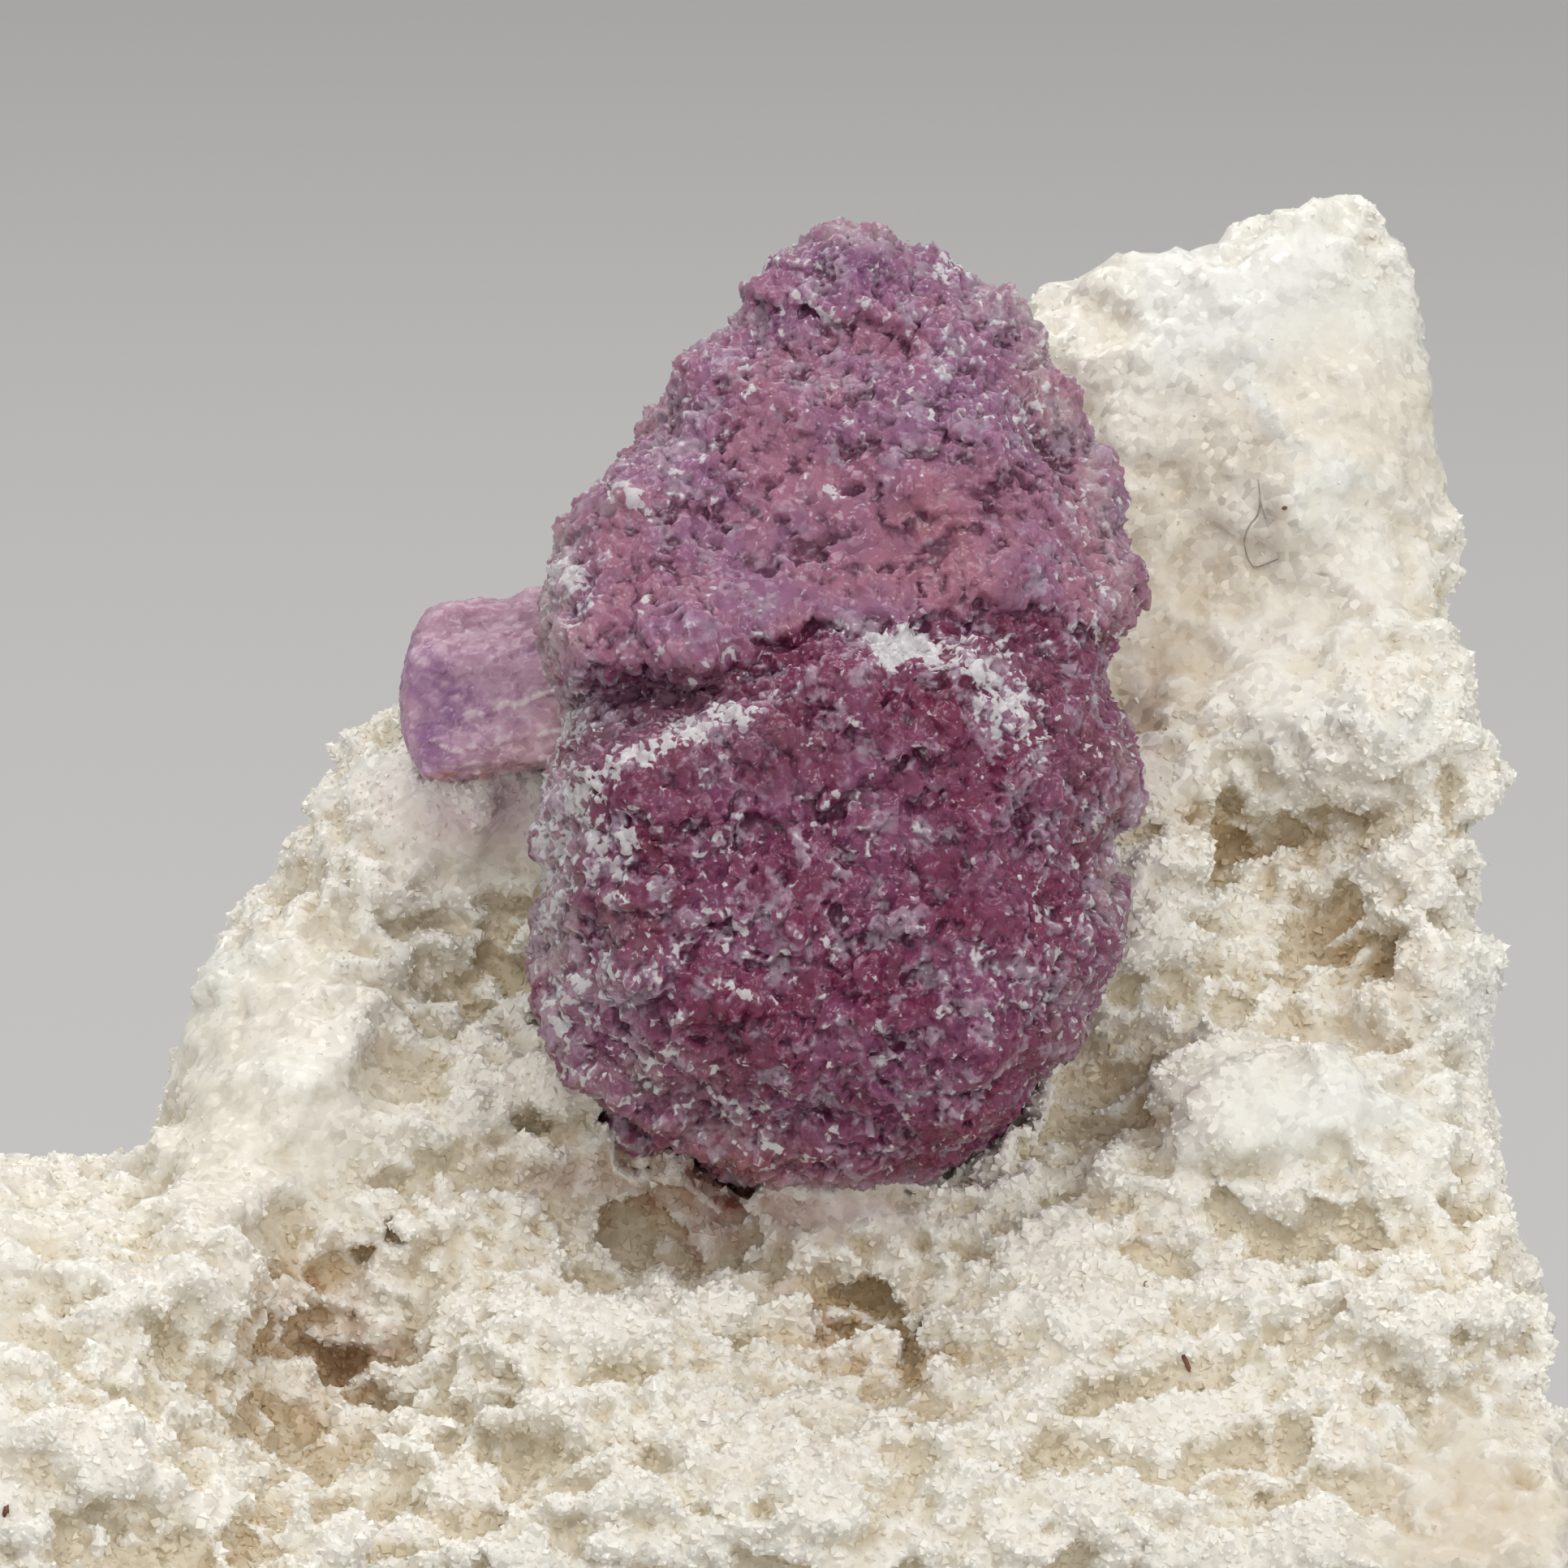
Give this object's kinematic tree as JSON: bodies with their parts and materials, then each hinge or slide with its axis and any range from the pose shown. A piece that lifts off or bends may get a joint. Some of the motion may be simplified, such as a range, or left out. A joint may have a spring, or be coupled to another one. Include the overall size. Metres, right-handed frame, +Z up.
{
  "type": "fluorite crystal on quartz matrix",
  "caption": "Mineral specimen: a large granular purple fluorite and a small lilac one on a ragged white quartz rock, cut flat to stand.",
  "frame": {"origin": "middle of the bounding box, at the flat cut that the rock rests on", "axes": "+Z up, +X along the rock's width to the viewer's right, -Y towards the viewer of the crystals"},
  "size_m": [0.047, 0.032, 0.0404],
  "materials": {
    "white_quartz": "rough",
    "purple_fluorite": "satin",
    "lilac_fluorite": "satin"
  },
  "bodies": {
    "root": {"quartz_matrix": "white_quartz", "large_fluorite": "purple_fluorite", "small_fluorite": "lilac_fluorite"}
  },
  "joints": []
}
